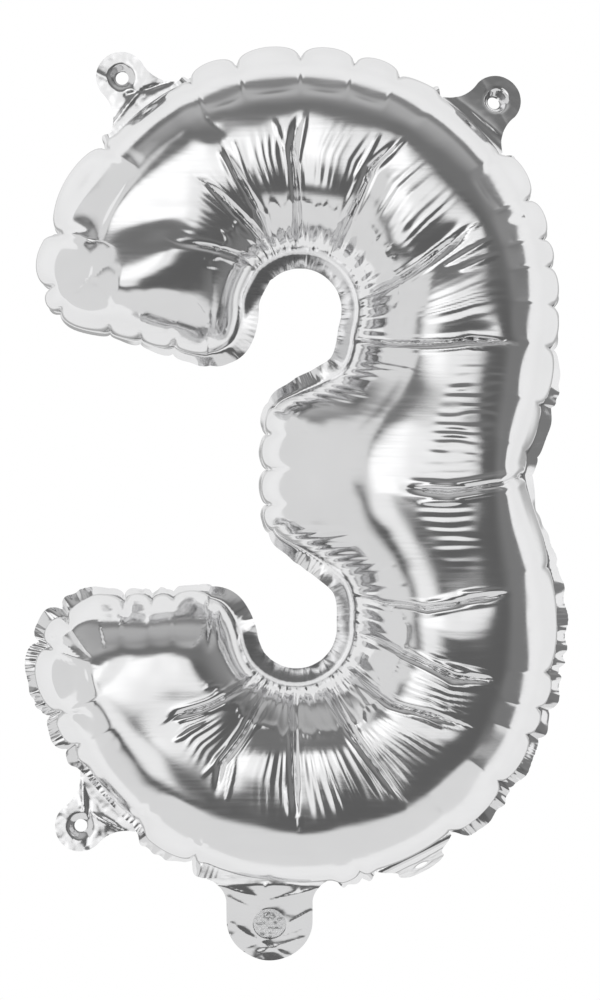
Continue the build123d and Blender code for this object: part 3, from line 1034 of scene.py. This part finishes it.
for piece, node in ((front, "front_film"), (back, "back_film")):
    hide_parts(node)
    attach(piece, "balloon")
tabs = [make_tab(name) for name in TABS]
tail_front = make_tail("tail_front_foil", (INLET_REACH, INLET), 0.3, "tail_front")
tail_back = make_tail("tail_back_foil", None, -0.3, "tail_back")
valves = [
    make_valve_inlet("valve_inlet_front_film", 0.12, 0.5, 81, "valve_inlet_front"),
    make_valve_inlet("valve_inlet_back_film", -0.12, 0.15, 91, "valve_inlet_back"),
    make_valve_sleeve("valve_sleeve_front_film", -1, 95, "valve_sleeve_front"),
    make_valve_sleeve("valve_sleeve_back_film", 1, 95, "valve_sleeve_back"),
]


def new_material(name):
    material = bpy.data.materials.new(name)
    material.use_nodes = True
    return material, material.node_tree, material.node_tree.nodes["Principled BSDF"]


def feed(node, inputs):
    """Sets a node's inputs, by name or number, to values or to other nodes' sockets."""
    for key, value in inputs.items():
        if isinstance(value, bpy.types.NodeSocket):
            node.id_data.links.new(value, node.inputs[key])
        else:
            node.inputs[key].default_value = value


def add(tree, kind, inputs, output=0, **settings):
    """One output of a new node."""
    node = tree.nodes.new(kind)
    for key, value in settings.items():
        setattr(node, key, value)
    feed(node, inputs)
    return node.outputs[output]


def noise_of(tree, scale, detail, stretch=(1, 1, 1), turn=0.0):
    """Noise over the object's own coordinates, stretched and turned."""
    where = add(tree, "ShaderNodeTexCoord", {}, "Object")
    where = add(tree, "ShaderNodeMapping", {"Vector": where, "Rotation": (0, turn, 0), "Scale": stretch})
    return add(tree, "ShaderNodeTexNoise", {"Vector": where, "Scale": scale, "Detail": detail}, "Fac")


def remap(tree, source, *ends, **settings):
    """A source from one range taken to another: both ends of the one, then of the other."""
    return add(tree, "ShaderNodeMapRange", {0: source, **dict(enumerate(ends, 1))}, **settings)


def ramp(tree, source, low, high):
    """A colour between two, from 0.3 to 0.7 of the source."""
    colour = add(tree, "ShaderNodeValToRGB", {0: source})
    for element, rgb, position in zip(colour.node.color_ramp.elements, (low, high), (0.3, 0.7)):
        element.color = (*rgb, 1)
        element.position = position
    return colour


def bump(tree, source, distance, strength, **under):
    """Bump from a source, over another bump if that is given as Normal."""
    inputs = {"Height": source, "Distance": distance, "Strength": strength, **under}
    return add(tree, "ShaderNodeBump", inputs)


def foil_material():
    """Bright aluminium foil: faint roll lines, fine grit, and patches that are a little duller."""
    material, tree, shader = new_material("silver_foil_look")
    patches = noise_of(tree, 45, 4)
    lines = noise_of(tree, 260, 3, (0.12, 1, 3.5), math.radians(14))
    rough = {0: remap(tree, patches, 0.3, 0.7, 0.07, 0.14), 1: remap(tree, lines, 0.35, 0.75, 0.0, 0.07)}
    grit = bump(tree, noise_of(tree, 1500, 2), 0.00002, 0.25)
    feed(shader, {
        "Metallic": 1.0,
        "Base Color": ramp(tree, patches, (0.80, 0.80, 0.805), (0.835, 0.835, 0.84)),
        "Roughness": add(tree, "ShaderNodeMath", rough, operation="ADD"),
        "Normal": bump(tree, lines, 0.00004, 0.15, Normal=grit),
    })
    return material


def film_material():
    """Clear polythene, crinkled, with milky patches."""
    material, tree, shader = new_material("valve_film_look")
    patches = noise_of(tree, 380, 4)
    feed(shader, {
        "Alpha": 0.14,
        "IOR": 1.5,
        "Base Color": ramp(tree, patches, (0.92, 0.93, 0.94), (0.98, 0.985, 0.99)),
        "Roughness": remap(tree, patches, 0.3, 0.7, 0.05, 0.2),
        "Normal": bump(tree, patches, 0.0003, 0.6),
    })
    return material


foil, clear_film = foil_material(), film_material()
for piece in (front, back, *tabs, tail_front, tail_back):
    piece.data.materials.append(foil)
for piece in valves:
    piece.data.materials.append(clear_film)


# Camera at the photograph's viewing angle: level, and square to the digit
lens = bpy.data.cameras.new("camera")
lens.lens = LENS
lens.sensor_fit = "VERTICAL"
lens.sensor_width = lens.sensor_height = SENSOR
camera = put_in_scene("camera", lens)
camera.location = (0, -PIXEL * LENS / SENSOR, (PHOTO_Z + LIFT) * MM)     # a thousand pixels are PIXEL metres
camera.rotation_euler = (math.pi / 2, 0, 0)
bpy.context.scene.camera = camera

# Plain pale floor, a disc well below the balloon.  It isn't seen in the foil.
FLOOR_RADIUS, FLOOR_Z, FLOOR_CORNERS = 0.8, -0.36, 96
floor_mesh = bpy.data.meshes.new("floor")
rim = np.linspace(0, 2 * math.pi, FLOOR_CORNERS + 1)[:-1]
rim = [(FLOOR_RADIUS * math.cos(t), FLOOR_RADIUS * math.sin(t), FLOOR_Z) for t in rim]
floor_mesh.from_pydata(rim, [], [tuple(range(FLOOR_CORNERS))])
floor = put_in_scene("floor", floor_mesh)
floor.visible_glossy = False
floor_look, floor_tree, floor_shader = new_material("floor_look")
feed(floor_shader, {
    "Roughness": 0.9,
    "Base Color": ramp(floor_tree, noise_of(floor_tree, 6, 3), (0.86, 0.86, 0.86), (0.9, 0.9, 0.9)),
    "Emission Color": (1, 1, 1, 1),
    "Emission Strength": 0.35,
})
floor_mesh.materials.append(floor_look)

# Studio light, by direction: one broad soft light in front with a dimmer strip and a lower part at
# its left, lights below, at the left and at the upper left, and white behind the object.  The rest
# of the room is darker, most of all behind the camera.  The camera itself sees plain white.
world = bpy.data.worlds.new("studio")
bpy.context.scene.world = world
world.use_nodes = True
sky = world.node_tree
sides = add(sky, "ShaderNodeSeparateXYZ", {0: add(sky, "ShaderNodeTexCoord", {}, "Generated")}).node.outputs
x, y, z = (sides[k] for k in "XYZ")


def step(source, low, high):
    """A smooth step from 0 at low to 1 at high."""
    ends = (low, high, 0.0, 1.0) if low < high else (high, low, 1.0, 0.0)
    return remap(sky, source, *ends, interpolation_type="SMOOTHSTEP")


def join(kind, first, *others):
    """Math on sockets or numbers, from left to right."""
    for second in others:
        first = add(sky, "ShaderNodeMath", {0: first, 1: second}, operation=kind)
    return first


def panel_light(bottom, top, left, right, *share):
    """A light with soft edges: each edge is a pair of heights or sideways places, dark and lit."""
    return join("MULTIPLY", step(z, *bottom), step(z, *top), step(x, *left), step(x, *right), *share)


behind = step(y, -0.04, 0.06)
deep = join("MULTIPLY", step(y, 0.76, 0.9), join("ADD", 0.22, join("MULTIPLY", step(z, 0.35, -0.05), 0.28)))
broad = panel_light((-0.22, -0.10), (0.32, 0.18), (-0.60, -0.36), (0.26, 0.08))
low_left = panel_light((-0.50, -0.38), (0.1, 0.0), (-0.60, -0.36), (-0.05, -0.2))
dimmer = panel_light((-0.14, 0.0), (0.36, 0.2), (-0.42, -0.3), (-0.02, -0.14), 0.28)
front_box = join("ADD", join("MAXIMUM", broad, low_left), dimmer)
under = join("MULTIPLY", step(z, -0.52, -0.66), 0.82)
left = join("MULTIPLY", step(x, -0.48, -0.66), step(z, 0.78, 0.52), 0.80)
left_high = join("MULTIPLY", step(x, -0.36, -0.46), step(z, -0.06, 0.1), step(z, 0.62, 0.42), 0.80)
above = join("ADD", 0.13, join("MULTIPLY", step(z, 0.1, 0.35), 0.06))
above = join("ADD", above, join("MULTIPLY", step(z, 0.45, 0.9), 0.30))
above = join("SUBTRACT", above, join("MULTIPLY", step(y, -0.30, -0.12), step(z, 0.4, 0.8), 0.24))
above = join("ADD", above, join("MULTIPLY", step(x, 0.4, 0.85), 0.09))
light = join("MAXIMUM", front_box, under, left, left_high, above, behind)
light = join("SUBTRACT", light, deep, join("MULTIPLY", step(y, 0.2, 0.6), 0.06))
seen_directly = add(sky, "ShaderNodeLightPath", {}, "Is Camera Ray")
feed(sky.nodes["Background"], {"Color": join("MAXIMUM", light, seen_directly)})
bpy.context.scene.view_settings.view_transform = "Standard"
